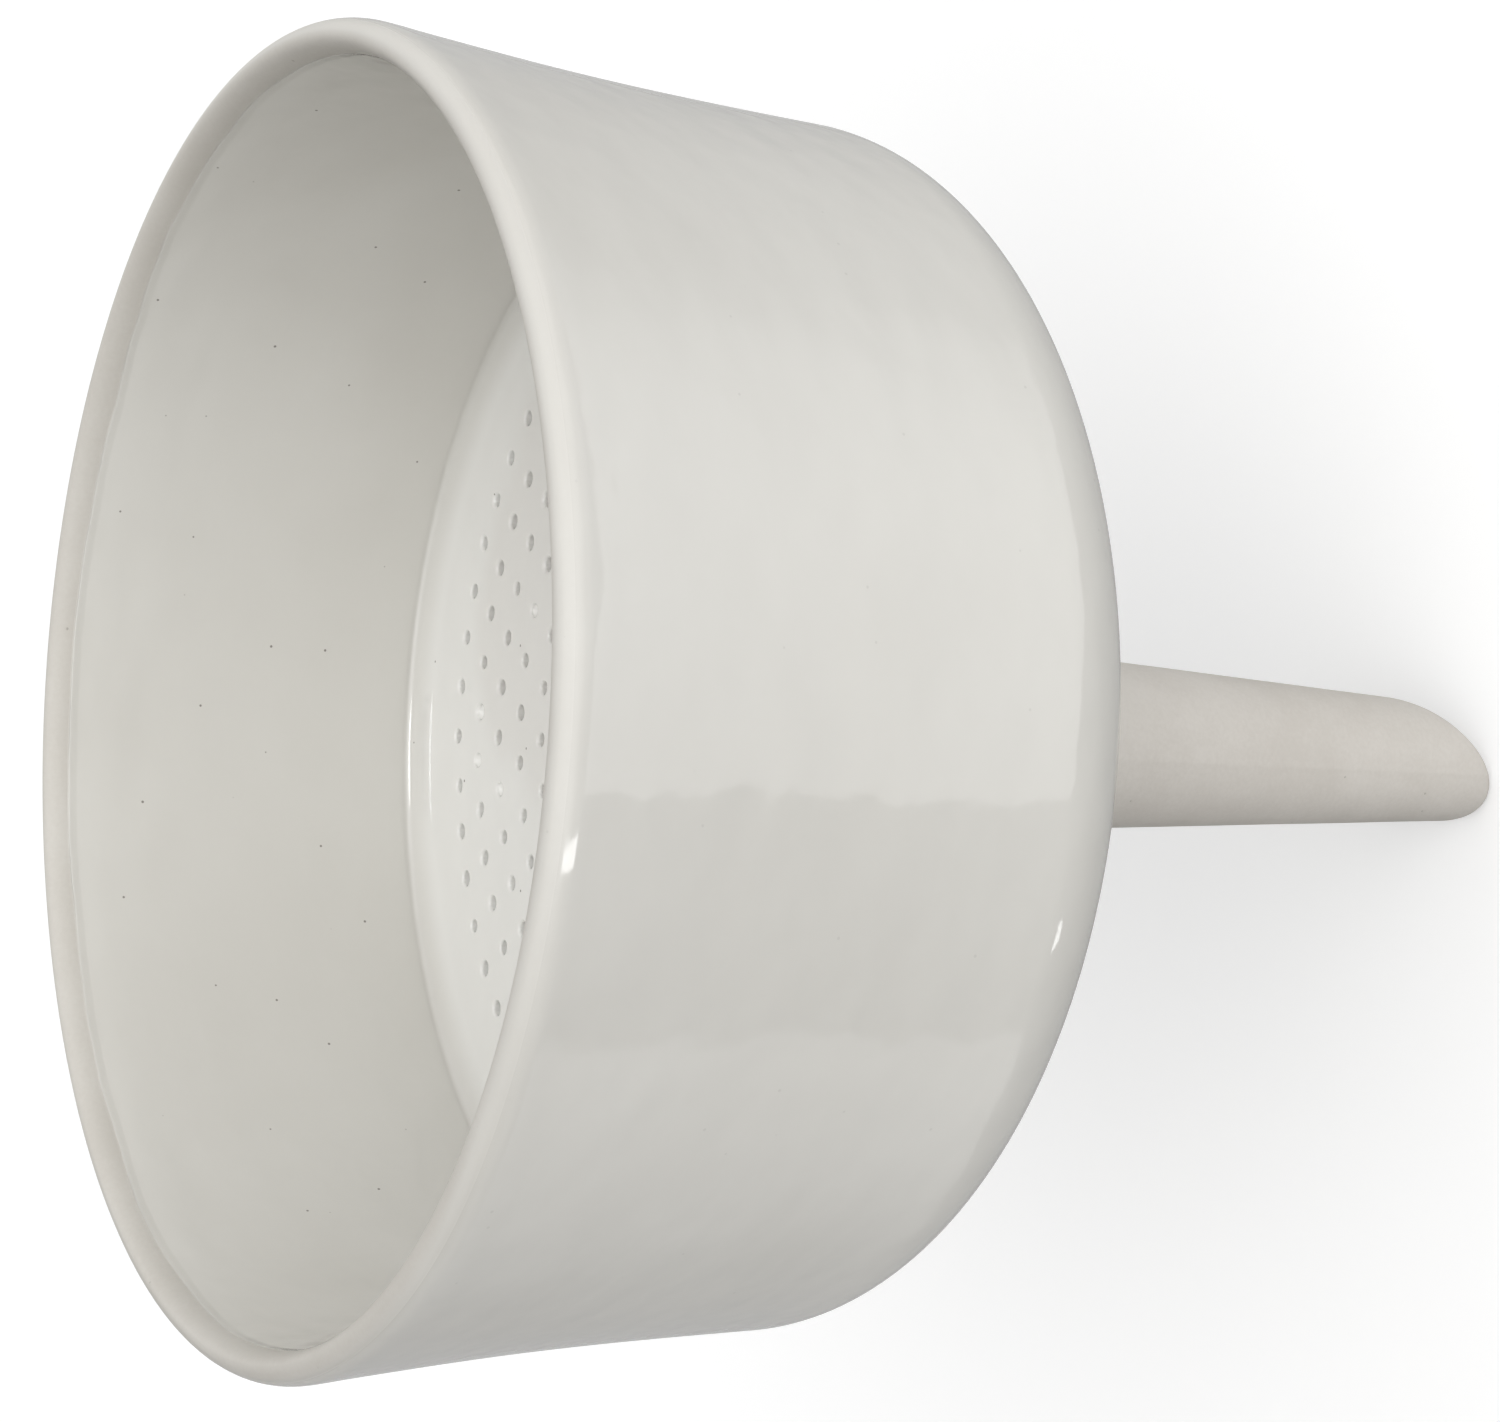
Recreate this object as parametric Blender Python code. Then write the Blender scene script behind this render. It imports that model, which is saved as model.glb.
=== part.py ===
"""Porcelain Buchner funnel, standing mouth up in its working attitude.

Origin: on the axis, at the root of the stem, where a flask's rubber adapter seats it.
+Z runs along the axis towards the mouth, and the long side of the bevelled stem tip is at +X.
"""

import math

import bmesh
import bpy
from mathutils import Vector

MM = 0.001

# Driving dimensions
RIM_RADIUS = 85.0 * MM
RIM_HEIGHT = 100.0 * MM
WALL = 4.4 * MM
GAP = 0.3 * MM

# Lip: well rounded, with a narrow flat land that the ware is fired on
LIP_ROUND = 1.6 * MM
LIP_HEIGHT = 4.0 * MM

# Bowl wall: nearly a cylinder, flaring towards the lip
BARREL_RADIUS = 82.32 * MM
BARREL_TAPER = 0.0071
FLARE = 2.59 * MM
FLARE_REACH = 27.3 * MM
FLARE_POWER = 1.5
WALL_BANDS = 6
BAND_SPREAD = 1.2
JOINT_HEIGHT = 35.0 * MM

# Filter plate, its ledge and the cove of slip round its edge
PLATE_TOP = 41.4 * MM
PLATE_THICKNESS = 5.0 * MM
PLATE_LAND = 0.8 * MM
SEAT_RADIUS = 69.0 * MM
COVE_TOE = 0.4 * MM
COVE_BEND = 1.9 * MM
COVE_CORNER = 1.2 * MM
COVE_HEIGHT = 3.0 * MM
LEDGE_REACH = 6.5 * MM
LEDGE_EDGE = 1.1 * MM
LEDGE_HEIGHT = 3.2 * MM
HOLE_RADIUS = 1.15 * MM
HOLE_SIDES = 6
RINGS = 9
RING_PITCH = 6.9 * MM
RING_STAGGER = 0.219
FIRST_STAGGER = 0.683

# Collector: a tight shoulder, then a shallow dome down to the neck
SHOULDER_HEIGHT = 33.1 * MM
SHOULDER_RADIUS = 13.9 * MM
SHOULDER_TURN = 69.0
DOME_TURN = 4.2
NECK_RADIUS = 14.6 * MM
NECK_ROUND = 1.0 * MM
BORE_RADIUS = 9.6 * MM

# Stem: a slow taper, cut off at a slant
STEM_RADIUS = 14.2 * MM
STEM_TAPER = 0.0455
STEM_LENGTH = 97.9 * MM
TIP_RADIUS = STEM_RADIUS - STEM_TAPER * STEM_LENGTH
TIP_BORE_RADIUS = 6.4 * MM
TIP_SLANT = 0.99
COLLAR_WIDTH = 5.0 * MM
COLLAR_HEIGHT = 5.5 * MM
COLLAR_BEND = (2.25 * MM, 1.4 * MM)
COLLAR_FOOT = (0.6 * MM, 3.3 * MM)

WALL_SEGMENTS = 60
STEM_SEGMENTS = 40


def make_material(name, colour, roughness, coat):
    material = bpy.data.materials.new(name)
    material.use_nodes = True
    shader = material.node_tree.nodes["Principled BSDF"]
    shader.inputs["Base Color"].default_value = (*colour, 1.0)
    shader.inputs["Roughness"].default_value = roughness
    shader.inputs["Coat Weight"].default_value = coat
    shader.inputs["Metallic"].default_value = 0.0
    return material


def arc(centre, radius, start, end, steps):
    """Points (r, z) round a centre, from one angle to another in degrees, with 0 pointing outwards."""
    points = []
    for step in range(steps + 1):
        angle = math.radians(start + (end - start) * step / steps)
        points.append((centre[0] + radius * math.cos(angle), centre[1] + radius * math.sin(angle)))
    return points


def arc_between(start, end, turn, steps):
    """Points on the arc from start to end whose direction turns clockwise by turn degrees."""
    chord = Vector(end) - Vector(start)
    half = math.radians(turn) / 2.0
    radius = chord.length / (2.0 * math.sin(half))
    inward = Vector((chord.y, -chord.x)).normalized()
    centre = Vector(start) + chord / 2.0 + inward * radius * math.cos(half)
    spoke = Vector(start) - centre
    points = []
    for step in range(steps + 1):
        angle = -2.0 * half * step / steps
        turned = (
            spoke.x * math.cos(angle) - spoke.y * math.sin(angle),
            spoke.x * math.sin(angle) + spoke.y * math.cos(angle),
        )
        points.append((centre.x + turned[0], centre.y + turned[1]))
    return points


def wall_radius(height):
    """Outer radius of the bowl wall at a height below the lip."""
    depth = RIM_HEIGHT - height
    flare = FLARE * math.exp(-((depth / FLARE_REACH) ** FLARE_POWER))
    return BARREL_RADIUS - BARREL_TAPER * depth + flare


def spin_profile(bm, profile, segments):
    """Turns a profile of (r, z) points through a full circle and joins its ends."""
    verts = [bm.verts.new((r, 0.0, z)) for r, z in profile]
    edges = [bm.edges.new(pair) for pair in zip(verts, verts[1:])]
    if profile[0][0] > 0.0:
        edges.append(bm.edges.new((verts[-1], verts[0])))
    bmesh.ops.spin(
        bm,
        geom=verts + edges,
        axis=(0.0, 0.0, 1.0),
        cent=(0.0, 0.0, 0.0),
        angle=math.tau,
        steps=segments,
        use_merge=True,
    )
    bmesh.ops.remove_doubles(bm, verts=bm.verts, dist=GAP / 100.0)
    bmesh.ops.recalc_face_normals(bm, faces=bm.faces)


def make_object(name, bm, material):
    mesh = bpy.data.meshes.new(name)
    bm.to_mesh(mesh)
    bm.free()
    mesh.materials.append(material)
    mesh.shade_smooth()
    mesh.set_sharp_from_angle(angle=math.radians(35.0))
    obj = bpy.data.objects.new(name, mesh)
    bpy.context.scene.collection.objects.link(obj)
    return obj


def turned(name, profile, material, segments=WALL_SEGMENTS):
    bm = bmesh.new()
    spin_profile(bm, profile, segments)
    return make_object(name, bm, material)


def bowl_wall(material):
    """Upper bowl: lip, flared outer wall, joint face and inner wall."""
    round_height = RIM_HEIGHT - LIP_ROUND
    inner_lip = RIM_RADIUS - WALL
    profile = arc((inner_lip + LIP_ROUND, round_height), LIP_ROUND, 180.0, 90.0, 3)
    profile += arc((RIM_RADIUS - LIP_ROUND, round_height), LIP_ROUND, 90.0, 0.0, 3)
    top = RIM_HEIGHT - LIP_HEIGHT
    drop = top - JOINT_HEIGHT - GAP / 2.0
    heights = [top - drop * (step / WALL_BANDS) ** BAND_SPREAD for step in range(WALL_BANDS + 1)]
    profile += [(wall_radius(height), height) for height in heights]
    profile += [(wall_radius(height) - WALL, height) for height in reversed(heights)]
    return turned("bowl_wall", profile, material)


def collector_bowl(material):
    """Lower bowl under the plate: shoulder, shallow dome and the neck that the stem joins."""
    top = JOINT_HEIGHT - GAP / 2.0
    centre = (wall_radius(SHOULDER_HEIGHT) - SHOULDER_RADIUS, SHOULDER_HEIGHT)
    outer = [(wall_radius(top), top)]
    outer += arc(centre, SHOULDER_RADIUS, 0.0, -SHOULDER_TURN, 5)
    outer += arc_between(outer[-1], (NECK_RADIUS, 0.0), DOME_TURN, 4)[1:]
    inner = [(wall_radius(top) - WALL, top)]
    inner += arc(centre, SHOULDER_RADIUS - WALL, 0.0, -SHOULDER_TURN, 3)
    inner += arc_between(inner[-1], (BORE_RADIUS + NECK_ROUND, WALL), DOME_TURN, 4)[1:]
    neck = [(BORE_RADIUS, 0.0), (BORE_RADIUS, WALL - NECK_ROUND)]
    return turned("collector_bowl", outer + neck + inner[::-1], material)


def plate_ledge(material):
    """Ring inside the wall that the plate rests on, sloped underneath like a corbel."""
    top = PLATE_TOP - PLATE_THICKNESS - GAP
    outer = wall_radius(JOINT_HEIGHT) - WALL - GAP
    profile = [
        (outer - LEDGE_REACH, top),
        (outer, top),
        (outer, top - LEDGE_HEIGHT),
        (outer - LEDGE_REACH, top - LEDGE_EDGE),
    ]
    return turned("plate_ledge", profile, material)


def plate_cove(material):
    """Fillet of slip that seals the plate's edge to the wall."""
    base = PLATE_TOP - PLATE_LAND + GAP
    outer = wall_radius(PLATE_TOP) - WALL - GAP
    toe = SEAT_RADIUS + PLATE_LAND
    profile = [
        (outer, base),
        (toe, base),
        (toe, base + COVE_TOE),
        (outer - COVE_BEND, PLATE_TOP + COVE_CORNER),
        (outer - COVE_BEND + COVE_CORNER, PLATE_TOP + COVE_BEND),
        (outer, PLATE_TOP + COVE_HEIGHT),
    ]
    return turned("plate_cove", profile, material)


def ring_holes(ring):
    """Hole count and angles of one ring. Each ring outwards has six holes more and is turned a little."""
    count = 6 * ring - 2
    offset = FIRST_STAGGER + RING_STAGGER * ring
    return [math.tau * (index + offset) / count for index in range(count)]


def hole_cutter():
    """All the plate's holes as prisms."""
    bm = bmesh.new()
    for ring in range(1, RINGS + 1):
        for angle in ring_holes(ring):
            radius = ring * RING_PITCH
            height = PLATE_TOP - PLATE_THICKNESS / 2.0
            centre = (radius * math.cos(angle), radius * math.sin(angle), height)
            made = bmesh.ops.create_cone(
                bm,
                cap_ends=True,
                segments=HOLE_SIDES,
                radius1=HOLE_RADIUS,
                radius2=HOLE_RADIUS,
                depth=PLATE_THICKNESS * 2.0,
            )
            bmesh.ops.translate(bm, verts=made["verts"], vec=centre)
    mesh = bpy.data.meshes.new("hole_cutter")
    bm.to_mesh(mesh)
    bm.free()
    cutter = bpy.data.objects.new("hole_cutter", mesh)
    bpy.context.scene.collection.objects.link(cutter)
    cutter.hide_render = True
    cutter.display_type = "WIRE"
    return cutter


def filter_plate(material):
    """Perforated disc. Its upper face is flat for the filter paper, with a lower land round it for the slip."""
    bottom = PLATE_TOP - PLATE_THICKNESS
    outer = wall_radius(PLATE_TOP) - WALL - GAP
    profile = [
        (0.0, PLATE_TOP),
        (SEAT_RADIUS, PLATE_TOP),
        (SEAT_RADIUS + PLATE_LAND / 2.0, PLATE_TOP - PLATE_LAND),
        (outer, PLATE_TOP - PLATE_LAND),
        (outer, bottom),
        (0.0, bottom),
    ]
    plate = turned("filter_plate", profile, material)
    holes = plate.modifiers.new("holes", "BOOLEAN")
    holes.operation = "DIFFERENCE"
    holes.solver = "EXACT"
    holes.object = hole_cutter()
    return plate


def stem(material):
    """Tapered tube under the collector, its tip cut off at a slant."""
    beyond = STEM_LENGTH + 2.0 * TIP_RADIUS
    bore_taper = (BORE_RADIUS - TIP_BORE_RADIUS) / STEM_LENGTH
    profile = [
        (STEM_RADIUS, -GAP),
        (STEM_RADIUS - STEM_TAPER * beyond, -beyond),
        (BORE_RADIUS - bore_taper * beyond, -beyond),
        (BORE_RADIUS, -GAP),
    ]
    bm = bmesh.new()
    spin_profile(bm, profile, STEM_SEGMENTS)
    cut = bmesh.ops.bisect_plane(
        bm,
        geom=bm.verts[:] + bm.edges[:] + bm.faces[:],
        plane_co=(0.0, 0.0, -STEM_LENGTH),
        plane_no=(-TIP_SLANT, 0.0, -1.0),
        clear_outer=True,
    )
    rim_edges = [item for item in cut["geom_cut"] if isinstance(item, bmesh.types.BMEdge)]
    bmesh.ops.bridge_loops(bm, edges=rim_edges)
    bmesh.ops.recalc_face_normals(bm, faces=bm.faces)
    return make_object("stem", bm, material)


def stem_collar(material):
    """Fillet of slip in the corner between the stem and the underside of the collector."""
    inner = STEM_RADIUS + GAP
    neck = NECK_RADIUS + GAP
    rise = math.tan(math.radians(90.0 - SHOULDER_TURN - DOME_TURN))
    profile = [
        (inner, -COLLAR_HEIGHT),
        (inner, -GAP),
        (neck, -GAP),
        (neck + COLLAR_WIDTH, COLLAR_WIDTH * rise - GAP),
        (neck + COLLAR_BEND[0], -COLLAR_BEND[1]),
        (neck + COLLAR_FOOT[0], -COLLAR_FOOT[1]),
    ]
    return turned("stem_collar", profile, material, STEM_SEGMENTS)


def main():
    for obj in list(bpy.data.objects):
        bpy.data.objects.remove(obj, do_unlink=True)
    bpy.context.scene.unit_settings.system = "METRIC"
    glaze = (0.69, 0.68, 0.64)
    bisque = (0.57, 0.54, 0.49)
    bowl_wall(make_material("bowl_glaze", glaze, 0.12, 0.6))
    collector_bowl(make_material("collector_glaze", glaze, 0.12, 0.6))
    plate_ledge(make_material("ledge_glaze", glaze, 0.2, 0.3))
    plate_cove(make_material("cove_glaze", glaze, 0.1, 0.7))
    filter_plate(make_material("plate_glaze", glaze, 0.12, 0.6))
    stem(make_material("stem_bisque", bisque, 0.75, 0.0))
    stem_collar(make_material("collar_bisque", bisque, 0.7, 0.0))


main()
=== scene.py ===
"""Porcelain Buchner funnel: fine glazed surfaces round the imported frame, with the studio it is seen in."""
import math
import random

import bmesh
import bpy
import numpy as np
from mathutils import Matrix, Vector, noise


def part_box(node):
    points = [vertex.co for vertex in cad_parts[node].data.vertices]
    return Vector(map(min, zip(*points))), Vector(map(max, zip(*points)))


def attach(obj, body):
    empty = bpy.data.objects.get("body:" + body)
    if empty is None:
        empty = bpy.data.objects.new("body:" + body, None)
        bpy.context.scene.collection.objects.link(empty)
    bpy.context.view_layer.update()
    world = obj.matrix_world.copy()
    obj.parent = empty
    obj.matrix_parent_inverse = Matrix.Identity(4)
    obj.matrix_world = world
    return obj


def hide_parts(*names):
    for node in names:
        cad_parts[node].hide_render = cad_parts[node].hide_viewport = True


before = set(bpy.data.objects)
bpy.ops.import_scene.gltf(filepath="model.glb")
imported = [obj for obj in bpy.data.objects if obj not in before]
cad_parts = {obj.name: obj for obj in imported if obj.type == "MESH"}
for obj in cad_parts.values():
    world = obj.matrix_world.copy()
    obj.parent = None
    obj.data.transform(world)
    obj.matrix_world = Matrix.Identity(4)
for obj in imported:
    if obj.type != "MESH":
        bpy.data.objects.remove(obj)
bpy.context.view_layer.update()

MM = 0.001

# Sizes read from the frame
BOWL_LOW, BOWL_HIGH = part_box("bowl_wall")
PLATE_LOW, PLATE_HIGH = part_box("filter_plate")
LEDGE_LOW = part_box("plate_ledge")[0]
COLLECTOR_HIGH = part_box("collector_bowl")[1]
STEM_LOW, STEM_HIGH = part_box("stem")
RIM_RADIUS = BOWL_HIGH.x
RIM_HEIGHT = BOWL_HIGH.z
JOINT_HEIGHT = (BOWL_LOW.z + COLLECTOR_HIGH.z) / 2.0
PLATE_TOP = PLATE_HIGH.z
STEM_RADIUS = STEM_HIGH.x

# Fineness of the meshes
SEGMENTS = 288
SMALL_SEGMENTS = 160
SHARP_ANGLE = 40.0
PLATE_SHARP_ANGLE = 50.0

# Shape of the wall and lip, as the frame has it
WALL = 4.4 * MM
BARREL_RADIUS = 82.32 * MM
BARREL_TAPER = 0.0071
FLARE = 2.59 * MM
FLARE_REACH = 27.3 * MM
FLARE_POWER = 1.5
LIP_OUTER_ROUND = (2.6 * MM, 3.4 * MM)
LIP_INNER_ROUND = (WALL - LIP_OUTER_ROUND[0], 3.6 * MM)
LIP_STEPS = 14
SWELL_DEPTH = 3.9 * MM
SWELL_REACH = 2.8 * MM
SWELL_SLACK = 0.16 * MM
WALL_STEPS = 64
WALL_SPREAD = 1.6

# Plate and the fillet of slip round it
SEAT_RADIUS = 69.0 * MM
PLATE_LAND = 0.8 * MM
COVE_HEIGHT = 2.1 * MM
COVE_POWER = 2.5
COVE_STEPS = 40
LEDGE_INNER_RADIUS = 69.9 * MM
LEDGE_ROUND = 1.0 * MM
LEDGE_FLAT = 0.5 * MM
LEDGE_UNDERCUT = 1.2 * MM
LEDGE_STEPS = 6

# Holes of the plate, with the spread of their places and sizes
HOLE_RADIUS = 1.0 * MM
HOLE_ROUND = 0.42 * MM
HOLE_BORDER = 0.25 * MM
HOLE_SIDES = 24
HOLE_STEPS = 6
RINGS = 9
RING_PITCH = 6.9 * MM
RING_STAGGER = 0.219
FIRST_STAGGER = 0.683
HOLE_SEED = 7
PLACE_SPREAD = 0.12
OVAL_SPREAD = 0.06
BORE_SPREAD = (0.9, 1.12)
ROUND_SPREAD = (0.75, 1.4)
FILLED_SHARE = 0.1
FILLED_DEPTH = (0.25, 0.6)
FILLED_LOOPS = (0.9, 0.6, 0.3)

# Collector and stem
SHOULDER_HEIGHT = 33.1 * MM
SHOULDER_RADIUS = 13.9 * MM
SHOULDER_TURN = 69.0
SHOULDER_STEPS = (24, 16)
DOME_TURN = 4.2
DOME_STEPS = (40, 24)
NECK_RADIUS = 14.6 * MM
NECK_ROUND = 1.0 * MM
BORE_RADIUS = 9.6 * MM
STEM_LENGTH = 97.9 * MM
STEM_TAPER = 0.0455
STEM_SLACK = 0.12 * MM
STEM_STEPS = 60
BORE_STRIDE = 4
WOBBLE = 0.05 * MM
WOBBLE_PITCH = 18.0 * MM
TIP_BORE_RADIUS = 6.4 * MM
TIP_SLANT = 0.99
TIP_ROUND = 1.3 * MM
TIP_STEPS = 10
SEAM_AZIMUTH = 33.0
SEAM_WIDTH = 2.2
SEAM_RISE = 0.09 * MM
COLLAR_SIZE = 5.2 * MM
COLLAR_OVERLAP = 0.05 * MM
COLLAR_TOE = 0.07 * MM
COLLAR_TUCK = 0.3 * MM
COLLAR_STEPS = 14

# Bare body of the lip: how far down it shows inside, and where it ends outside, further out on the low side.
# A wave is the scale per metre of its noise, its detail, and how far it moves the edge.
BARE_INNER_DEPTH = 3.4 * MM
BARE_WAVE = (38.0, 3.0, 2.2 * MM)
BARE_EDGE = 0.15 * MM
BARE_OUTER_RADIUS = 82.9 * MM
BARE_OUTER_EDGE = 0.9 * MM
BARE_WIDER = 1.2 * MM
BARE_WIDE_AZIMUTH = -36.0
BARE_WIDE_FROM = (0.55, 0.98)
GLAZE_ROLL = 0.11 * MM
ROLL_RISE = (-1.3 * MM, -0.15 * MM)
ROLL_DROP = (-0.1 * MM, 0.3 * MM)
THIN_DEPTH = (3.6 * MM, 0.9 * MM)
THIN_SHOW = 0.3
MATTE_DEPTH = (2.2 * MM, 0.8 * MM)
MATTE_SHARE = 0.7

# Glaze on the plate: its whiter pool, partly glaze pooling there and partly painted light, the raised run at
# the cove's inner edge, and a thinner patch
LIT_POOL_FADE = (71.5 * MM, 78.0 * MM)
LIT_POOL_FLOOR = (-2.5 * MM, -1.5 * MM)
LIT_POOL_CEILING = (COVE_HEIGHT, 1.5 * COVE_HEIGHT)
RUN_MIDDLE = (-47.8 * MM, -54.1 * MM, PLATE_TOP)
RUN_RADIUS = 72.1 * MM
RUN_RISE = 0.55 * MM
RUN_UP = (-0.35 * MM, 0.35 * MM)
RUN_DOWN = (0.6 * MM, 4.0 * MM)
RUN_ENDS = (6.5 * MM, 11.0 * MM)
PATCH_MIDDLE = (-32.0 * MM, -2.5 * MM, PLATE_TOP)
PATCH_EDGE = (27.5 * MM, 34.5 * MM)
PATCH_WAVE = (28.0, 2.0, 30.0 * MM)
PATCH_SHARE = 0.4

# Specks: pattern scale per metre, size in cells, and the share of cells that have one
GLAZE_SPECKS = (190.0, 0.048, 0.8)
BODY_SPECKS = (320.0, 0.07, 0.15)
BODY_PITS = (320.0, 0.09, 0.15)
SPECK_CORE = 0.6
SPECK_DARKNESS = 0.75
BODY_SPECK_DARKNESS = 0.35
SPECKS_WITHIN = (81.2 * MM, 81.6 * MM)
SPECKS_OUTSIDE = 0.15

# Colours
GLAZE_LIGHT = (0.672, 0.660, 0.622, 1.0)
GLAZE_DARK = (0.632, 0.618, 0.578, 1.0)
# Whiter glaze on the plate: glaze pooling there, and painted light that brightens the plate
GLAZE_LIT_POOL = (0.785, 0.780, 0.752, 1.0)
GLAZE_THIN = (0.690, 0.668, 0.635, 1.0)
SPECK = (0.10, 0.085, 0.07, 1.0)
BISQUE_LIGHT = (0.665, 0.635, 0.590, 1.0)
BISQUE_DARK = (0.595, 0.562, 0.515, 1.0)
# Bare body of the lip: the stem's bisque made darker, which is painted shade
LIP_SHADED_LIGHT = (0.595, 0.573, 0.530, 1.0)
LIP_SHADED_DARK = (0.550, 0.525, 0.480, 1.0)
MOTTLE = (0.3, 0.7)
PORCELAIN_IOR = 1.52

# Noise patterns: scale per metre, detail and roughness
GLAZE_CLOUDS = (14.0, 3.0, 0.55)
BODY_CLOUDS = (45.0, 4.0, 0.6)
BODY_FLECKS = (1500.0, 2.0, 0.6)
FLECK_SHARE = 0.3
GRAIN_NOISE = (1400.0, 3.0, 0.65)
UNEVEN_NOISE = (120.0, 2.0)
GLAZE_SHEEN = 30.0
BODY_SHEEN = 200.0

# Gloss, and relief of the surface: scale per metre and depth
GLAZE_ROUGHNESS = (0.05, 0.08)
LIP_ROUGHNESS = (0.08, 0.62)
BODY_ROUGHNESS = (0.58, 0.78)
RING_STRETCH = (1.0, 1.0, 1.6)
BROAD_WAVES = (75.0, 0.34 * MM)
FINE_WAVES = (230.0, 0.045 * MM)
ORANGE_PEEL = (620.0, 0.002 * MM)
GRAIN_DEPTH = 0.012 * MM
UNEVEN_DEPTH = 0.05 * MM
PIT_DEPTH = 0.05 * MM

# Camera: it looks down into the mouth, rolled so that the funnel lies on its side
AIM = Vector((-0.2, 2.4, 27.6)) * MM
CAMERA_AZIMUTH = 42.0
CAMERA_ELEVATION = 31.05
CAMERA_DISTANCE = 0.4091
CAMERA_ROLL = 86.7
LENS = 71.24

# Floor: how white the camera sees it, how much light it throws back, and its glow to the camera
FLOOR_RADIUS = 5.0
FLOOR_SIDES = 96
FLOOR_DROP = 0.2 * MM
FLOOR_WHITE = 0.95
FLOOR_BOUNCE = 0.55
FLOOR_GLOW = 0.16
FLOOR_ROUGHNESS = 0.9
FLOOR_SPECULAR = 0.1
BACKDROP = (1.0, 1.0, 1.0, 1.0)

# Soft lights round the object: azimuth and elevation in degrees, how tight each is, and how bright
SKY = (
    (132.0, 10.0, 2.0, 1.00),
    (42.0, 10.0, 2.0, 1.05),
    (222.0, 10.0, 2.0, 0.65),
    (42.0, 50.0, 6.0, 2.36),
    (222.0, 50.0, 6.0, 0.20),
)

# Panels that stand on the floor: two ends (x, y) in metres, radiance, and the fade along them
FLOOR_PANELS = (
    ("upper_panel", (0.196, 0.125), (-0.135, 0.262), 1.2, (1.0, 0.35)),
    ("lower_panel", (0.225, -0.015), (0.130, -0.215), 0.6, (0.0, 1.0)),
)
PANEL_FOOT = 1.0 * MM
PANEL_TOP = 20.0 * MM

# Lamps that give the small highlights: place, the point that shows them, width and height in mm, and radiance
LAMPS = (
    ("lip_lamp", (447.0, 185.0, 40.0), (71.5, 45.9, 97.5), (42.0, 270.0), 8.0),
    ("shoulder_lamp", (169.0, 39.0, -90.0), (74.2, 33.0, 30.0), (9.0, 16.0), 6.0),
    ("cove_lamp", (90.0, 180.0, 740.0), (-50.0, -57.0, 42.0), (130.0, 210.0), 13.0),
)


# ---------------------------------------------------------------- geometry


def direction(azimuth, elevation):
    a, e = math.radians(azimuth), math.radians(elevation)
    return Vector((math.cos(e) * math.cos(a), math.cos(e) * math.sin(a), math.sin(e)))


def arc(centre, semi_axes, start, end, steps):
    """Points (r, z) on an ellipse, from one angle to another in degrees, with 0 pointing outwards."""
    angles = np.radians(np.linspace(start, end, steps + 1))
    return [(centre[0] + semi_axes[0] * math.cos(a), centre[1] + semi_axes[1] * math.sin(a)) for a in angles]


def arc_between(start, end, turn, steps):
    """Points on the arc from start to end whose direction turns clockwise by turn degrees."""
    chord = Vector(end) - Vector(start)
    half = math.radians(turn) / 2.0
    radius = chord.length / (2.0 * math.sin(half))
    inward = Vector((chord.y, -chord.x)).normalized()
    centre = Vector(start) + chord / 2.0 + inward * radius * math.cos(half)
    spoke = Vector(start) - centre
    points = []
    for step in range(steps + 1):
        angle = -2.0 * half * step / steps
        x = spoke.x * math.cos(angle) - spoke.y * math.sin(angle)
        y = spoke.x * math.sin(angle) + spoke.y * math.cos(angle)
        points.append((centre.x + x, centre.y + y))
    return points


def wall_radius(height):
    """Outer radius of the plain wall at a height, without the lip's swelling."""
    depth = RIM_HEIGHT - height
    flare = FLARE * math.exp(-((max(depth, 0.0) / FLARE_REACH) ** FLARE_POWER))
    return BARREL_RADIUS - BARREL_TAPER * depth + flare


def smooth_mesh(bm, name, sharp=SHARP_ANGLE):
    """Turns a closed bmesh into a smooth shaded mesh, with its faces outwards."""
    bmesh.ops.recalc_face_normals(bm, faces=bm.faces)
    if bm.calc_volume(signed=True) < 0.0:
        bmesh.ops.reverse_faces(bm, faces=bm.faces)
    mesh = bpy.data.meshes.new(name)
    bm.to_mesh(mesh)
    bm.free()
    mesh.shade_smooth()
    mesh.set_sharp_from_angle(angle=math.radians(sharp))
    return mesh


def spun_mesh(name, profile, segments=SEGMENTS):
    """Turns a closed profile of (r, z) points through a full circle."""
    bm = bmesh.new()
    verts = [bm.verts.new((r, 0.0, z)) for r, z in profile]
    edges = [bm.edges.new((a, b)) for a, b in zip(verts, verts[1:] + verts[:1])]
    bmesh.ops.spin(
        bm, geom=verts + edges, axis=(0, 0, 1), cent=(0, 0, 0), angle=math.tau, steps=segments, use_merge=True
    )
    bmesh.ops.remove_doubles(bm, verts=bm.verts, dist=1e-7)
    return smooth_mesh(bm, name)


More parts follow.
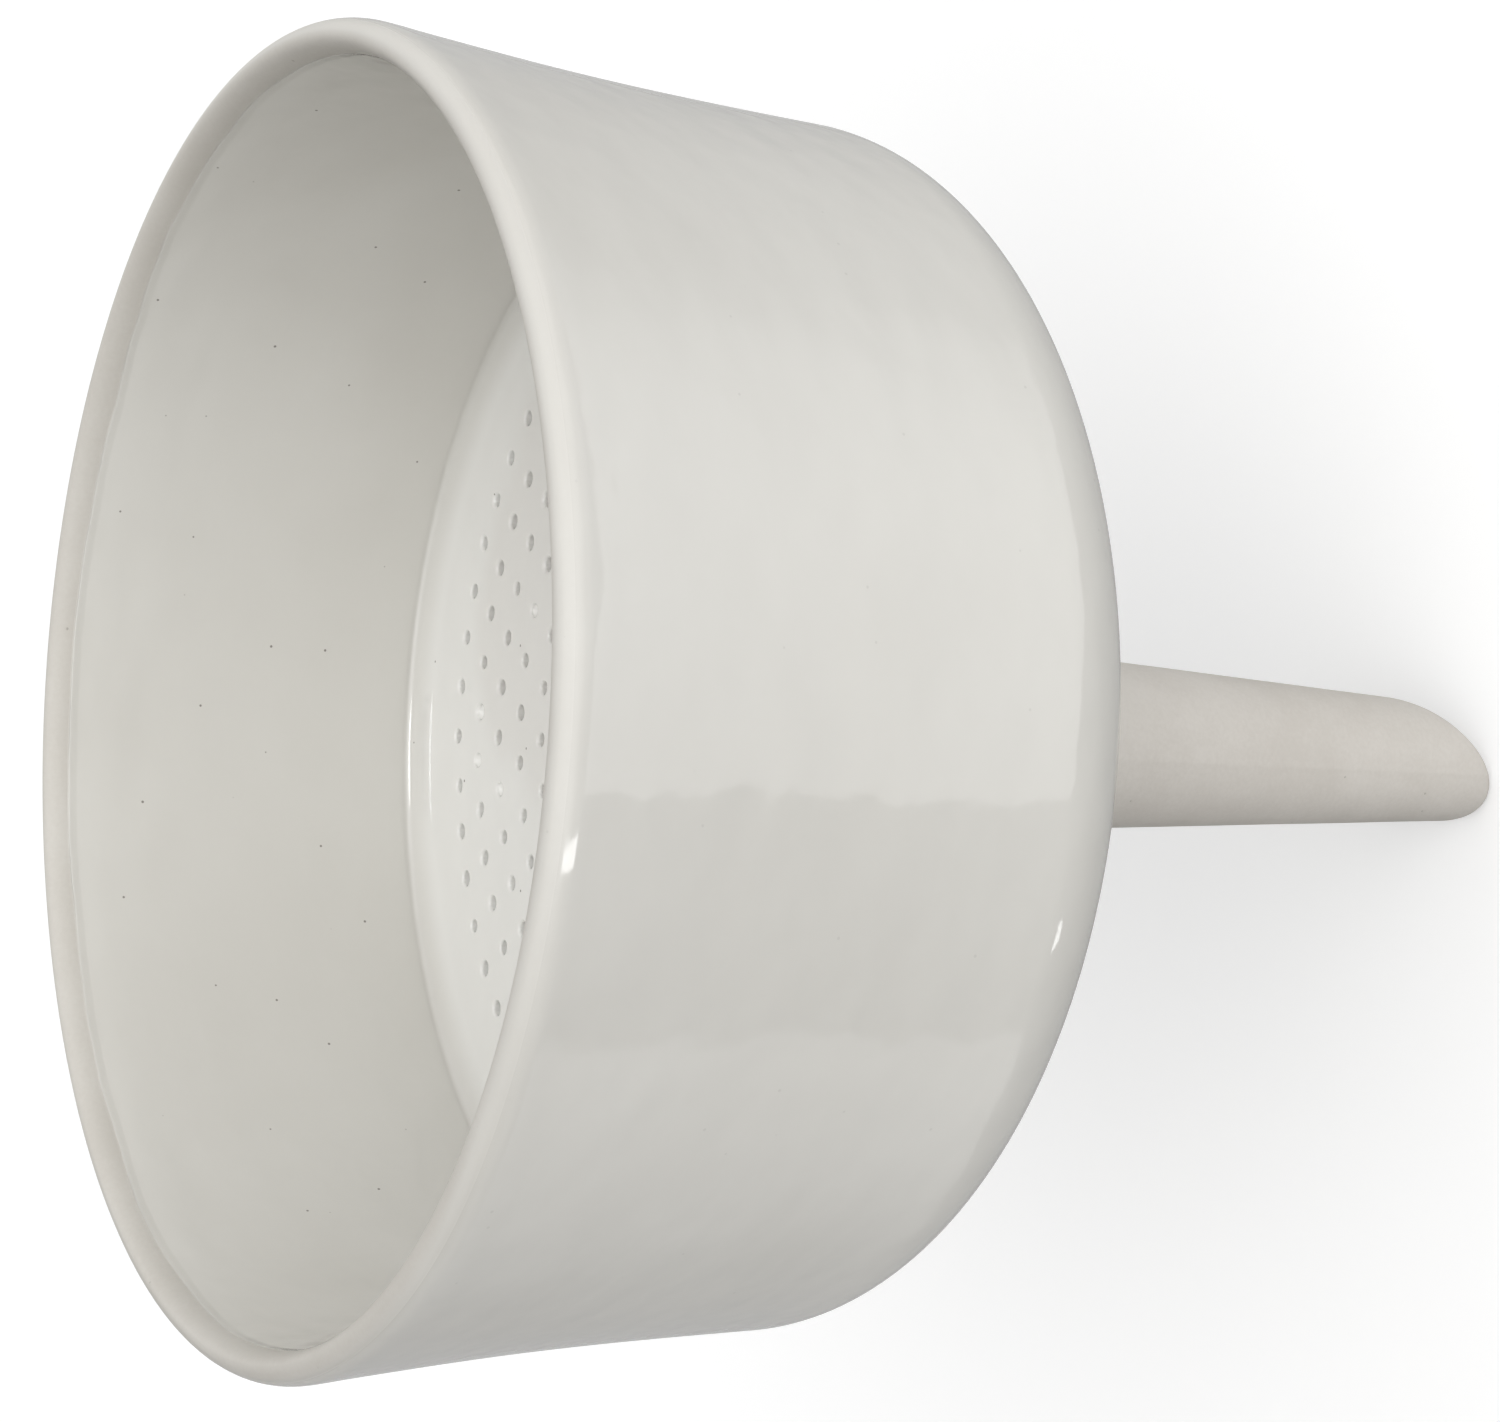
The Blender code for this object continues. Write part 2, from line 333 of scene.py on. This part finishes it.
def bowl_profile():
    """Wall with a full lip: it rolls over from the mouth, swells outside, and runs into the flare."""
    ridge = RIM_RADIUS - LIP_OUTER_ROUND[0]
    outer_height = RIM_HEIGHT - LIP_OUTER_ROUND[1]
    inner_height = RIM_HEIGHT - LIP_INNER_ROUND[1]
    swell_height = RIM_HEIGHT - SWELL_DEPTH
    swell = RIM_RADIUS - wall_radius(swell_height) - SWELL_SLACK

    def outer_radius(height):
        return wall_radius(height) + swell * math.exp(-(((swell_height - height) / SWELL_REACH) ** 2))

    profile = arc((ridge, inner_height), LIP_INNER_ROUND, 180.0, 90.0, LIP_STEPS)
    top = arc((ridge, outer_height), LIP_OUTER_ROUND, 90.0, 0.0, LIP_STEPS)
    join = outer_radius(outer_height) - RIM_RADIUS
    profile += [(r + join * (RIM_HEIGHT - z) / LIP_OUTER_ROUND[1], z) for r, z in top[1:]]
    drop = outer_height - JOINT_HEIGHT
    heights = [outer_height - drop * (step / WALL_STEPS) ** WALL_SPREAD for step in range(1, WALL_STEPS + 1)]
    profile += [(outer_radius(height), height) for height in heights]
    inside = RIM_RADIUS - wall_radius(inner_height)
    inner = []
    for height in heights:
        if height < inner_height:
            below = (inner_height - height) / SWELL_REACH
            inner.append((wall_radius(height) - WALL + inside * math.exp(-(below**2)), height))
    return profile + inner[::-1]


def collector_profile():
    """Shoulder and shallow dome, down to the hole of the neck."""
    centre = (wall_radius(SHOULDER_HEIGHT) - SHOULDER_RADIUS, SHOULDER_HEIGHT)
    outside, within = SHOULDER_RADIUS, SHOULDER_RADIUS - WALL
    outer = [(wall_radius(JOINT_HEIGHT), JOINT_HEIGHT)]
    outer += arc(centre, (outside, outside), 0.0, -SHOULDER_TURN, SHOULDER_STEPS[0])
    outer += arc_between(outer[-1], (NECK_RADIUS, 0.0), DOME_TURN, DOME_STEPS[0])[1:]
    inner = [(wall_radius(JOINT_HEIGHT) - WALL, JOINT_HEIGHT)]
    inner += arc(centre, (within, within), 0.0, -SHOULDER_TURN, SHOULDER_STEPS[1])
    inner += arc_between(inner[-1], (BORE_RADIUS + NECK_ROUND, WALL), DOME_TURN, DOME_STEPS[1])[1:]
    neck = [(BORE_RADIUS, 0.0), (BORE_RADIUS, WALL - NECK_ROUND)]
    return outer + neck + inner[::-1]


def cove_profile():
    """Slip in the corner: it leaves the plate at nearly no slope and turns ever more tightly up the wall."""
    wall = wall_radius(PLATE_TOP) - WALL
    width = wall - SEAT_RADIUS
    profile = [(wall, PLATE_TOP - PLATE_LAND), (SEAT_RADIUS, PLATE_TOP - PLATE_LAND)]
    for step in range(COVE_STEPS + 1):
        turn = math.pi / 2.0 * step / COVE_STEPS
        across = math.sin(turn) ** (2.0 / COVE_POWER)
        down = math.cos(turn) ** (2.0 / COVE_POWER) if step < COVE_STEPS else 0.0
        profile.append((SEAT_RADIUS + width * across, PLATE_TOP + COVE_HEIGHT * (1.0 - down)))
    return profile


def ledge_profile():
    """Ring under the plate, with a rounded inner edge and a slightly undercut face."""
    top, low, inner = PLATE_LOW.z, LEDGE_LOW.z, LEDGE_INNER_RADIUS
    outer = wall_radius(JOINT_HEIGHT) - WALL
    profile = [(outer, low), (outer, top), (inner + LEDGE_FLAT, top)]
    centre = (inner + LEDGE_ROUND, top - LEDGE_ROUND)
    profile += arc(centre, (LEDGE_ROUND, LEDGE_ROUND), 90.0, 180.0, LEDGE_STEPS)
    profile += [(inner + LEDGE_UNDERCUT, low + LEDGE_ROUND)]
    return profile


def ring_holes(ring):
    count = 6 * ring - 2
    offset = FIRST_STAGGER + RING_STAGGER * ring
    return [math.tau * (index + offset) / count for index in range(count)]


def plate_mesh():
    """Perforated plate. Each hole is a ring of walls with soft glazed edges, and flat faces fill the rest."""
    rng = random.Random(HOLE_SEED)
    bm = bmesh.new()
    top, bottom = PLATE_TOP, PLATE_LOW.z
    outer = wall_radius(PLATE_TOP) - WALL

    def loop(radius, height, sides, centre=(0.0, 0.0), oval=1.0, phase=0.0):
        verts = []
        for k in range(sides):
            angle = math.tau * k / sides
            x = radius * math.cos(angle) * oval
            y = radius * math.sin(angle) / oval
            c, s = math.cos(phase), math.sin(phase)
            verts.append(bm.verts.new((centre[0] + x * c - y * s, centre[1] + x * s + y * c, height)))
        return verts

    def join(a, b):
        n = len(a)
        for k in range(n):
            bm.faces.new((a[k], a[(k + 1) % n], b[(k + 1) % n], b[k]))

    def edges_of(verts):
        found = []
        for a, b in zip(verts, verts[1:] + verts[:1]):
            found.append(bm.edges.get((a, b)) or bm.edges.new((a, b)))
        return found

    def hole(centre, oval, phase, bore, edge, pool):
        """Adds one hole, filled with glaze if pool isn't None, and returns its edges above and below."""

        def around(radius, height):
            return loop(radius, height, HOLE_SIDES, centre, oval, phase)

        def rounded(face, inwards, steps):
            found = []
            for k in steps:
                turn = math.radians(90.0 * k / HOLE_STEPS)
                height = face + inwards * edge * (1.0 - math.cos(turn))
                found.append(around(bore + edge * (1.0 - math.sin(turn)), height))
            return found

        loops = [around(bore + edge + HOLE_BORDER, top)] + rounded(top, -1.0, range(HOLE_STEPS + 1))
        if pool is None:
            loops += rounded(bottom, 1.0, range(HOLE_STEPS, -1, -1))
            loops.append(around(bore + edge + HOLE_BORDER, bottom))
        else:
            for share in FILLED_LOOPS:
                loops.append(around(bore * share, top - edge - pool * (1.0 - share**2)))
            bm.faces.new(loops[-1])
        for a, b in zip(loops, loops[1:]):
            join(a, b)
        return edges_of(loops[0]), edges_of(loops[-1]) if pool is None else []

    top_edges, bottom_edges = [], []
    for ring in range(1, RINGS + 1):
        for angle in ring_holes(ring):
            radius = ring * RING_PITCH + rng.gauss(0.0, PLACE_SPREAD) * MM
            angle += rng.gauss(0.0, PLACE_SPREAD) * MM / max(radius, RING_PITCH)
            centre = (radius * math.cos(angle), radius * math.sin(angle))
            oval = 1.0 + rng.uniform(-OVAL_SPREAD, OVAL_SPREAD)
            phase = rng.uniform(0.0, math.pi)
            bore = HOLE_RADIUS * rng.uniform(*BORE_SPREAD)
            edge = HOLE_ROUND * rng.uniform(*ROUND_SPREAD)
            filled = rng.random() < FILLED_SHARE
            pool = rng.uniform(*FILLED_DEPTH) * MM
            above, below = hole(centre, oval, phase, bore, edge, pool if filled else None)
            top_edges += above
            bottom_edges += below
    border = [
        loop(SEAT_RADIUS, top, SEGMENTS),
        loop(SEAT_RADIUS, top - PLATE_LAND, SEGMENTS),
        loop(outer, top - PLATE_LAND, SEGMENTS),
        loop(outer, bottom, SEGMENTS),
    ]
    for a, b in zip(border, border[1:]):
        join(b, a)
    top_edges += edges_of(border[0])
    bottom_edges += edges_of(border[-1])
    bmesh.ops.triangle_fill(bm, use_beauty=True, edges=top_edges, normal=(0, 0, 1))
    bmesh.ops.triangle_fill(bm, use_beauty=True, edges=bottom_edges, normal=(0, 0, -1))
    return smooth_mesh(bm, "filter_plate_glazed", PLATE_SHARP_ANGLE)


def seam_height(angle):
    """Raised line where the two halves of the stem's mould met, on opposite sides."""
    away = math.degrees(math.remainder(angle - math.radians(SEAM_AZIMUTH), math.pi))
    return SEAM_RISE * math.exp(-((away / SEAM_WIDTH) ** 2))


def stem_mesh():
    """Tapered tube with a slanted, softly rounded tip and a faint mould seam down each side."""
    bore_taper = (BORE_RADIUS - TIP_BORE_RADIUS) / STEM_LENGTH
    columns = []
    for k in range(SMALL_SEGMENTS):
        angle = math.tau * k / SMALL_SEGMENTS
        c, s = math.cos(angle), math.sin(angle)
        radius_at_tip = (STEM_RADIUS - STEM_TAPER * STEM_LENGTH) / (1.0 + STEM_TAPER * TIP_SLANT * c)
        cut = -STEM_LENGTH - TIP_SLANT * radius_at_tip * c + TIP_ROUND
        seam = seam_height(angle)
        column = []
        for step in range(STEM_STEPS + 1):
            z = cut * step / STEM_STEPS
            wobble = WOBBLE * noise.noise(Vector((c, s, z / WOBBLE_PITCH)))
            column.append((STEM_RADIUS + STEM_TAPER * z - STEM_SLACK + seam + wobble, z))
        outer_r = column[-1][0]
        inner_r = BORE_RADIUS + bore_taper * cut
        middle, half = (outer_r + inner_r) / 2.0, (outer_r - inner_r) / 2.0
        for step in range(1, TIP_STEPS):
            turn = math.pi * step / TIP_STEPS
            column.append((middle + half * math.cos(turn), cut - TIP_ROUND * math.sin(turn)))
        for step in range(STEM_STEPS, -1, -BORE_STRIDE):
            z = cut * step / STEM_STEPS
            column.append((BORE_RADIUS + bore_taper * z, z))
        columns.append([(r * c, r * s, z) for r, z in column])
    rows = len(columns[0])
    bm = bmesh.new()
    verts = [[bm.verts.new(point) for point in column] for column in columns]
    for one, other in zip(verts, verts[1:] + verts[:1]):
        for row in range(rows):
            following = (row + 1) % rows
            bm.faces.new((one[row], other[row], other[following], one[following]))
    return smooth_mesh(bm, "stem_bisque")


def collar_profile():
    """Hollow fillet of slip that runs from the dome into the stem."""
    inner = STEM_RADIUS - STEM_TAPER * COLLAR_SIZE - STEM_SLACK - COLLAR_TOE
    hidden = inner - COLLAR_TUCK
    rise = math.tan(math.radians(90.0 - SHOULDER_TURN - DOME_TURN))
    rim = (NECK_RADIUS + COLLAR_SIZE, COLLAR_SIZE * rise - COLLAR_OVERLAP)
    profile = [(hidden, -COLLAR_SIZE), (hidden, -COLLAR_OVERLAP), (NECK_RADIUS, -COLLAR_OVERLAP), rim]
    for step in range(1, COLLAR_STEPS):
        bend = math.pi / 2.0 * step / COLLAR_STEPS
        r = rim[0] - (rim[0] - inner) * math.sin(bend)
        profile.append((r, rim[1] - (rim[1] + COLLAR_SIZE) * (1.0 - math.cos(bend))))
    return profile


# ---------------------------------------------------------------- materials


class Nodes:
    """Short calls for building a node tree."""

    def __init__(self, tree):
        self.tree = tree

    def add(self, kind, inputs=None, **settings):
        node = self.tree.nodes.new(kind)
        for key, value in settings.items():
            setattr(node, key, value)
        for key, value in (inputs or {}).items():
            self.put(node.inputs[key], value)
        return node

    def put(self, socket, value):
        if isinstance(value, bpy.types.NodeSocket):
            self.tree.links.new(value, socket)
        else:
            socket.default_value = value

    def math(self, operation, *values):
        node = self.add("ShaderNodeMath", operation=operation)
        for socket, value in zip(node.inputs, values):
            self.put(socket, value)
        return node.outputs[0]

    def total(self, first, *others):
        for value in others:
            first = self.math("ADD", first, value)
        return first

    def product(self, first, *others):
        for value in others:
            first = self.math("MULTIPLY", first, value)
        return first

    def vector(self, operation, a, b=(0.0, 0.0, 0.0), output=0):
        return self.add("ShaderNodeVectorMath", {0: a, 1: b}, operation=operation).outputs[output]

    def smooth(self, value, low, high):
        """Rises softly from 0 at low to 1 at high."""
        node = self.add("ShaderNodeMapRange", interpolation_type="SMOOTHSTEP")
        for key, v in (("Value", value), ("From Min", low), ("From Max", high)):
            self.put(node.inputs[key], v)
        return node.outputs["Result"]

    def fall(self, value, low, high):
        """Falls softly from 1 at low to 0 at high."""
        return self.math("SUBTRACT", 1.0, self.smooth(value, low, high))

    def spread(self, value, low, high):
        """Stretches 0 to 1 over low to high."""
        node = self.add("ShaderNodeMapRange", {"Value": value, "To Min": low, "To Max": high})
        return node.outputs["Result"]

    def noise(self, vector, scale, detail=2.0, roughness=0.5):
        inputs = {"Vector": vector, "Scale": scale, "Detail": detail, "Roughness": roughness}
        return self.add("ShaderNodeTexNoise", inputs).outputs["Fac"]

    def wave(self, vector, scale, detail, depth):
        """Noise that goes as far below zero as above it."""
        return self.product(self.math("SUBTRACT", self.noise(vector, scale, detail), 0.5), depth)

    def mix(self, factor, a, b):
        node = self.add("ShaderNodeMix", data_type="RGBA")
        self.put(node.inputs[0], factor)
        self.put(node.inputs[6], a)
        self.put(node.inputs[7], b)
        return node.outputs[2]


def start_material(name):
    material = bpy.data.materials.new(name)
    material.use_nodes = True
    tree = material.node_tree
    nodes = Nodes(tree)
    shader = tree.nodes["Principled BSDF"]
    place = nodes.add("ShaderNodeTexCoord").outputs["Object"]
    return material, nodes, shader, place


def finish_material(nodes, shader, colour, roughness, height):
    bump = nodes.add("ShaderNodeBump", {"Height": height, "Strength": 1.0, "Distance": 1.0})
    nodes.put(shader.inputs["Base Color"], colour)
    nodes.put(shader.inputs["Roughness"], roughness)
    nodes.put(shader.inputs["Normal"], bump.outputs["Normal"])
    shader.inputs["IOR"].default_value = PORCELAIN_IOR


def specks(nodes, place, scale, size, share):
    """Mask of small round specks: the cells of a 3D pattern that are picked at random."""
    cells = nodes.add("ShaderNodeTexVoronoi", {"Vector": place, "Scale": scale}, feature="F1")
    near = nodes.fall(cells.outputs["Distance"], size * SPECK_CORE, size)
    pick = nodes.add("ShaderNodeSeparateColor", {"Color": cells.outputs["Color"]}).outputs[0]
    return nodes.product(near, nodes.math("LESS_THAN", pick, share))


def radius_of(nodes, place):
    across = nodes.vector("MULTIPLY", place, (1.0, 1.0, 0.0))
    return nodes.vector("LENGTH", across, output="Value")


def height_of(nodes, place):
    return nodes.add("ShaderNodeSeparateXYZ", {"Vector": place}).outputs["Z"]


def within_wall(nodes, place):
    """Mask of the bowl's inside, where the specks of the firing settled; few are outside."""
    inner = nodes.fall(radius_of(nodes, place), *SPECKS_WITHIN)
    above = nodes.smooth(height_of(nodes, place), PLATE_LOW.z, PLATE_TOP)
    return nodes.total(nodes.product(inner, above, 1.0 - SPECKS_OUTSIDE), SPECKS_OUTSIDE)


def thin_patch(nodes, place):
    """Mask of the rounded patch at one side of the plate where the glaze ran thinner."""
    away = nodes.vector("DISTANCE", place, PATCH_MIDDLE, "Value")
    return nodes.fall(nodes.total(away, nodes.wave(place, *PATCH_WAVE)), *PATCH_EDGE)


def glaze_colour(nodes, place):
    """Warm white glaze, clouded, whiter on the plate, partly from glaze pooling there and partly painted
    light, with a few specks.
    """
    colour = nodes.mix(nodes.smooth(nodes.noise(place, *GLAZE_CLOUDS), *MOTTLE), GLAZE_DARK, GLAZE_LIGHT)
    above = nodes.math("SUBTRACT", height_of(nodes, place), PLATE_TOP)
    over, below = nodes.smooth(above, *LIT_POOL_FLOOR), nodes.fall(above, *LIT_POOL_CEILING)
    # Painted light: the plate's glaze is made whiter, fading out towards the wall
    lit_pool = nodes.product(below, over, nodes.fall(radius_of(nodes, place), *LIT_POOL_FADE))
    white = nodes.mix(nodes.product(thin_patch(nodes, place), PATCH_SHARE), GLAZE_LIT_POOL, GLAZE_THIN)
    colour = nodes.mix(lit_pool, colour, white)
    dots = nodes.product(specks(nodes, place, *GLAZE_SPECKS), within_wall(nodes, place), SPECK_DARKNESS)
    return nodes.mix(dots, colour, SPECK)


def glaze_run(nodes, place):
    """Height in metres of the short raised run of glaze along the inner edge of the cove."""
    past = nodes.math("SUBTRACT", radius_of(nodes, place), RUN_RADIUS)
    along = nodes.fall(nodes.vector("DISTANCE", place, RUN_MIDDLE, "Value"), *RUN_ENDS)
    return nodes.product(nodes.smooth(past, *RUN_UP), nodes.fall(past, *RUN_DOWN), along, RUN_RISE)


def glaze_height(nodes, place):
    """Height in metres: broad and fine waves where the glaze ran round the axis, and orange peel."""
    rings = nodes.vector("MULTIPLY", place, RING_STRETCH)
    height = glaze_run(nodes, place)
    for where, (scale, depth) in ((rings, BROAD_WAVES), (rings, FINE_WAVES), (place, ORANGE_PEEL)):
        height = nodes.total(height, nodes.product(nodes.noise(where, scale, 1.0), depth))
    return height


def bisque_colour(nodes, place, dark, light):
    """Bare body: cloudy, with fine grain and small faint specks."""
    tone = nodes.product(nodes.noise(place, *BODY_CLOUDS), 1.0 - FLECK_SHARE)
    flecks = nodes.product(nodes.noise(place, *BODY_FLECKS), FLECK_SHARE)
    colour = nodes.mix(nodes.smooth(nodes.total(tone, flecks), *MOTTLE), dark, light)
    dots = nodes.product(specks(nodes, place, *BODY_SPECKS), BODY_SPECK_DARKNESS)
    return nodes.mix(dots, colour, SPECK)


def bisque_height(nodes, place):
    """Height in metres: fine grain, with pits and soft unevenness."""
    grain = nodes.product(nodes.noise(place, *GRAIN_NOISE), GRAIN_DEPTH)
    soft = nodes.product(nodes.noise(place, *UNEVEN_NOISE), UNEVEN_DEPTH)
    return nodes.total(grain, soft, nodes.product(specks(nodes, place, *BODY_PITS), -PIT_DEPTH))


def glaze_material(name):
    material, nodes, shader, place = start_material(name)
    rough = nodes.spread(nodes.noise(place, GLAZE_SHEEN), *GLAZE_ROUGHNESS)
    finish_material(nodes, shader, glaze_colour(nodes, place), rough, glaze_height(nodes, place))
    return material


def bowl_material(name):
    """Glaze that stops at a wavy edge inside the lip and thins out over its top, where the body shows."""
    material, nodes, shader, place = start_material(name)
    height = height_of(nodes, place)
    edge = nodes.total(nodes.wave(place, *BARE_WAVE), RIM_HEIGHT - BARE_INNER_DEPTH)
    past = nodes.math("SUBTRACT", height, edge)
    low_side = nodes.vector("DOT_PRODUCT", place, direction(BARE_WIDE_AZIMUTH, 0.0), "Value")
    wide = nodes.smooth(low_side, *(share * RIM_RADIUS for share in BARE_WIDE_FROM))
    outer_edge = nodes.total(nodes.product(wide, BARE_WIDER), BARE_OUTER_RADIUS)
    past_ridge = nodes.math("SUBTRACT", radius_of(nodes, place), outer_edge)
    outward = nodes.smooth(past_ridge, -BARE_OUTER_EDGE, BARE_OUTER_EDGE)
    inside = nodes.math("SUBTRACT", 1.0, outward)
    bare = nodes.product(nodes.smooth(past, -BARE_EDGE, BARE_EDGE), inside)
    roll = nodes.product(nodes.smooth(past, *ROLL_RISE), nodes.fall(past, *ROLL_DROP), inside, GLAZE_ROLL)
    thin, top = (
        nodes.product(nodes.smooth(height, RIM_HEIGHT - low, RIM_HEIGHT - high), outward)
        for low, high in (THIN_DEPTH, MATTE_DEPTH)
    )
    show = nodes.math("MAXIMUM", bare, nodes.product(thin, THIN_SHOW))
    # The bare lip uses the bisque darkened with painted shade
    colour = nodes.mix(show, glaze_colour(nodes, place), bisque_colour(nodes, place, LIP_SHADED_DARK, LIP_SHADED_LIGHT))
    reliefs = {0: bare, 2: glaze_height(nodes, place), 3: bisque_height(nodes, place)}
    relief = nodes.add("ShaderNodeMix", reliefs, data_type="FLOAT").outputs[0]
    rough = nodes.spread(nodes.math("MAXIMUM", bare, nodes.product(top, MATTE_SHARE)), *LIP_ROUGHNESS)
    finish_material(nodes, shader, colour, rough, nodes.total(relief, roll))
    return material


def bisque_material(name):
    material, nodes, shader, place = start_material(name)
    rough = nodes.spread(nodes.noise(place, BODY_SHEEN), *BODY_ROUGHNESS)
    colour = bisque_colour(nodes, place, BISQUE_DARK, BISQUE_LIGHT)
    finish_material(nodes, shader, colour, rough, bisque_height(nodes, place))
    return material


# ---------------------------------------------------------------- studio


def make_camera():
    towards = direction(CAMERA_AZIMUTH, CAMERA_ELEVATION)
    data = bpy.data.cameras.new("camera")
    data.lens = LENS
    data.sensor_width = 36.0
    data.sensor_fit = "HORIZONTAL"
    data.clip_start = 0.01
    data.clip_end = 50.0
    camera = bpy.data.objects.new("camera", data)
    bpy.context.scene.collection.objects.link(camera)
    level = towards.to_track_quat("Z", "Y").to_matrix()
    turned = level @ Matrix.Rotation(-math.radians(CAMERA_ROLL), 3, "Z")
    camera.matrix_world = Matrix.Translation(AIM + towards * CAMERA_DISTANCE) @ turned.to_4x4()
    bpy.context.scene.camera = camera


def make_floor():
    """White paper floor. It lights the funnel less than the camera sees, and is clear from below."""
    bm = bmesh.new()
    bmesh.ops.create_circle(bm, cap_ends=True, segments=FLOOR_SIDES, radius=FLOOR_RADIUS)
    mesh = bpy.data.meshes.new("floor")
    bm.to_mesh(mesh)
    bm.free()
    floor = bpy.data.objects.new("floor", mesh)
    floor.location.z = STEM_LOW.z - FLOOR_DROP
    bpy.context.scene.collection.objects.link(floor)
    material = bpy.data.materials.new("floor_paper")
    material.use_nodes = True
    nodes = Nodes(material.node_tree)
    shader = material.node_tree.nodes["Principled BSDF"]
    shader.inputs["Roughness"].default_value = FLOOR_ROUGHNESS
    shader.inputs["Specular IOR Level"].default_value = FLOOR_SPECULAR
    shader.inputs["Emission Color"].default_value = (1.0, 1.0, 1.0, 1.0)
    seen = nodes.add("ShaderNodeLightPath").outputs["Is Camera Ray"]
    white, bounce = ((level, level, level, 1.0) for level in (FLOOR_WHITE, FLOOR_BOUNCE))
    nodes.put(shader.inputs["Base Color"], nodes.mix(seen, bounce, white))
    nodes.put(shader.inputs["Emission Strength"], nodes.product(seen, FLOOR_GLOW))
    under = nodes.add("ShaderNodeNewGeometry").outputs["Backfacing"]
    clear = nodes.add("ShaderNodeBsdfTransparent").outputs["BSDF"]
    sides = {0: nodes.product(seen, under), 1: shader.outputs["BSDF"], 2: clear}
    surface = nodes.add("ShaderNodeMixShader", sides).outputs[0]
    nodes.put(material.node_tree.nodes["Material Output"].inputs["Surface"], surface)
    mesh.materials.append(material)


def make_world():
    """Large soft lights with no edges, and a plain white backdrop where the camera looks past the floor."""
    world = bpy.data.worlds.new("studio")
    world.use_nodes = True
    nodes = Nodes(world.node_tree)
    background = world.node_tree.nodes["Background"]
    place = nodes.add("ShaderNodeTexCoord").outputs["Generated"]
    level = 0.0
    for azimuth, elevation, tightness, amount in SKY:
        facing = nodes.vector("DOT_PRODUCT", place, direction(azimuth, elevation), "Value")
        lobe = nodes.math("POWER", nodes.math("MAXIMUM", facing, 0.0), tightness)
        level = nodes.total(nodes.product(lobe, amount), level)
    grey = nodes.add("ShaderNodeCombineColor", {"Red": level, "Green": level, "Blue": level}).outputs[0]
    background.inputs["Strength"].default_value = 1.0
    seen = nodes.add("ShaderNodeLightPath").outputs["Is Camera Ray"]
    nodes.put(background.inputs["Color"], nodes.mix(seen, grey, BACKDROP))
    bpy.context.scene.world = world


def make_panel(name, middle, facing, size, radiance, fade=None):
    """Softbox that shows only in the glaze. A fade makes it die away from one end to the other."""
    data = bpy.data.lights.new(name, "AREA")
    data.shape = "RECTANGLE"
    data.size, data.size_y = size
    data.energy = math.pi * size[0] * size[1] * radiance
    if fade:
        data.use_nodes = True
        nodes = Nodes(data.node_tree)
        along = nodes.add("ShaderNodeNewGeometry").outputs["Parametric"]
        along = nodes.add("ShaderNodeSeparateXYZ", {"Vector": along}).outputs["X"]
        nodes.put(data.node_tree.nodes["Emission"].inputs["Strength"], nodes.smooth(along, *fade))
    back = -facing.normalized()
    side = Vector((0.0, 0.0, 1.0)).cross(back).normalized()
    turned = Matrix((side, back.cross(side), back)).transposed().to_4x4()
    light = bpy.data.objects.new(name, data)
    light.matrix_world = Matrix.Translation(middle) @ turned
    light.visible_camera = False
    light.visible_diffuse = False
    bpy.context.scene.collection.objects.link(light)
    return light


def floor_panel(name, start, end, radiance, fade):
    """Panel that stands on the floor between two points (x, y)."""
    low, high = STEM_LOW.z + PANEL_FOOT, PANEL_TOP
    ends = [Vector((x, y, (low + high) / 2.0)) for x, y in (start, end)]
    middle = (ends[0] + ends[1]) / 2.0
    across = ends[1] - ends[0]
    facing = Vector((-across.y, across.x, 0.0))
    if facing.dot(middle) > 0.0:
        facing.negate()
    make_panel(name, middle, facing, (across.length, high - low), radiance, fade)


def make_lights():
    """Makes the world, the panels and the lamps, and returns the lamps by name."""
    make_world()
    for panel in FLOOR_PANELS:
        floor_panel(*panel)
    lamps = {}
    for name, place, aim, size, radiance in LAMPS:
        place, aim = Vector(place) * MM, Vector(aim) * MM
        lamps[name] = make_panel(name, place, aim - place, (size[0] * MM, size[1] * MM), radiance)
    return lamps


def shine_only_on(light, piece):
    """Keeps this lamp off everything but one piece, as a flag in front of a lamp does."""
    lit = bpy.data.collections.new(light.name + "_lit")
    lit.objects.link(piece)
    light.light_linking.receiver_collection = lit


# ---------------------------------------------------------------- the object


def link(name, mesh, material, slot, *nodes):
    """Makes the piece that stands for these CAD nodes."""
    mesh.materials.append(material)
    obj = bpy.data.objects.new(name, mesh)
    bpy.context.scene.collection.objects.link(obj)
    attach(obj, "root")
    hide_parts(*nodes)
    return obj


def main():
    make_camera()
    make_floor()
    lamps = make_lights()
    bpy.context.scene.view_settings.view_transform = "Standard"
    glaze = glaze_material("porcelain_glaze")
    bisque = bisque_material("porcelain_bisque")
    rim = bowl_material("porcelain_glaze_and_bare_lip")
    link("bowl_glazed", spun_mesh("bowl_glazed", bowl_profile()), rim, "white_glaze", "bowl_wall")
    link("plate_glazed", plate_mesh(), glaze, "white_glaze", "filter_plate")
    cove = link("cove_glazed", spun_mesh("cove_glazed", cove_profile()), glaze, "white_glaze", "plate_cove")
    shine_only_on(lamps["cove_lamp"], cove)
    link("ledge_glazed", spun_mesh("ledge_glazed", ledge_profile()), glaze, "white_glaze", "plate_ledge")
    collector = spun_mesh("collector_glazed", collector_profile())
    link("collector_glazed", collector, glaze, "white_glaze", "collector_bowl")
    link("stem_bare", stem_mesh(), bisque, "bisque", "stem")
    collar = spun_mesh("collar_bare", collar_profile(), SMALL_SEGMENTS)
    link("collar_bare", collar, bisque, "bisque", "stem_collar")


main()

bpy.context.view_layer.update()
